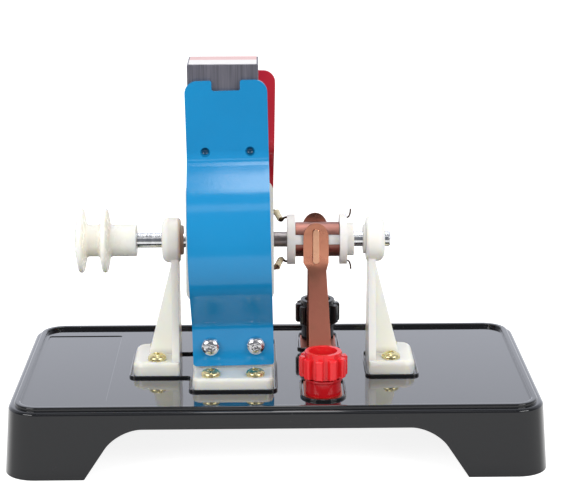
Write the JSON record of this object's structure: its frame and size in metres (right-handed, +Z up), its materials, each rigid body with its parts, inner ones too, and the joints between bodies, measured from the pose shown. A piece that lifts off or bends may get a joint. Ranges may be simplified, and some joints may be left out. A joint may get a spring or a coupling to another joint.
{
  "type": "demonstration electric motor",
  "caption": "Classroom model of a direct-current electric motor: wound armature between curved pole plates, split-ring commutator with strip brushes, pulley and binding posts on a tray base.",
  "frame": {"origin": "middle of the base tray's footprint, on the surface it stands on", "axes": "+X along the shaft from the pulley towards the commutator, +Y from the red terminal to the black one, +Z up"},
  "size_m": [0.2086, 0.1176, 0.1515],
  "materials": {
    "base_black": "glossy moulded black plastic",
    "bracket_ivory": "satin ivory nylon",
    "bush_brown": "satin",
    "bush_white": "satin",
    "screw_zinc": "bright zinc plate",
    "screw_yellow": "yellow zinc plate",
    "plate_blue": "glossy enamel",
    "plate_red": "glossy enamel",
    "magnet_grey": "ground",
    "label_white": "plain, white and pink",
    "shaft_steel": "ground",
    "pulley_ivory": "satin nylon",
    "core_steel": "stacked sheets",
    "bobbin_white": "satin",
    "coil_copper": "varnished winding wire",
    "former_white": "satin nylon",
    "segment_copper": "polished copper",
    "sleeve_cream": "soft tube",
    "wire_dark": "dark varnished wire",
    "brush_copper": "rolled spring copper",
    "post_red": "moulded",
    "post_black": "moulded",
    "stud_brass": "turned"
  },
  "bodies": {
    "base": {"base_tray": "base_black", "left_bearing_bracket": "bracket_ivory", "right_bearing_bracket": "bracket_ivory", "magnet_stand": "bracket_ivory", "left_bearing_bush": "bush_brown", "right_bearing_bush": "bush_white", "pole_plate_screws": "screw_zinc", "post_nuts": "screw_zinc", "post_washers": "screw_zinc", "bracket_screws": "screw_yellow", "stand_screws": "screw_yellow", "front_pole_plate": "plate_blue", "rear_pole_plate": "plate_red", "magnet_block": "magnet_grey", "magnet_label": "label_white", "front_brush": "brush_copper", "rear_brush": "brush_copper", "red_post_collar": "post_red", "black_post_collar": "post_black", "red_post_stud": "stud_brass", "black_post_stud": "stud_brass"},
    "rotor": {"shaft": "shaft_steel", "pulley": "pulley_ivory", "armature_core": "core_steel", "front_bobbin": "bobbin_white", "rear_bobbin": "bobbin_white", "front_coil": "coil_copper", "rear_coil": "coil_copper", "commutator_former": "former_white", "upper_segment": "segment_copper", "lower_segment": "segment_copper", "upper_lead": "coil_copper", "lower_lead": "coil_copper", "upper_lead_sleeve": "sleeve_cream", "lower_lead_sleeve": "sleeve_cream", "upper_segment_wire": "wire_dark", "lower_segment_wire": "wire_dark"},
    "red_lift": {"red_knob_insert": "stud_brass"},
    "red_turn": {"red_knob": "post_red"},
    "black_lift": {"black_knob_insert": "stud_brass"},
    "black_turn": {"black_knob": "post_black"}
  },
  "joints": [
    {"name": "rotor_spin", "type": "hinge", "parent": "base", "child": "rotor", "pos_m": [0, 0, 0.0792], "axis": [1, 0, 0], "continuous": true},
    {"name": "red_knob_lift", "type": "slide", "parent": "base", "child": "red_lift", "axis": [0, 0, 1], "range_m": [0, 0.0028]},
    {"name": "red_knob_turn", "type": "hinge", "parent": "red_lift", "child": "red_turn", "pos_m": [0.0183, -0.037, 0.038], "axis": [0, 0, 1], "range_deg": [0, 1440]},
    {"name": "black_knob_lift", "type": "slide", "parent": "base", "child": "black_lift", "axis": [0, 0, 1], "range_m": [0, 0.0028]},
    {"name": "black_knob_turn", "type": "hinge", "parent": "black_lift", "child": "black_turn", "pos_m": [0.0183, 0.037, 0.038], "axis": [0, 0, 1], "range_deg": [0, 1440]}
  ],
  "couplings": [
    {"joint": "red_knob_lift", "follows": "red_knob_turn", "m_per_rad": 0.00011141},
    {"joint": "black_knob_lift", "follows": "black_knob_turn", "m_per_rad": 0.00011141}
  ]
}
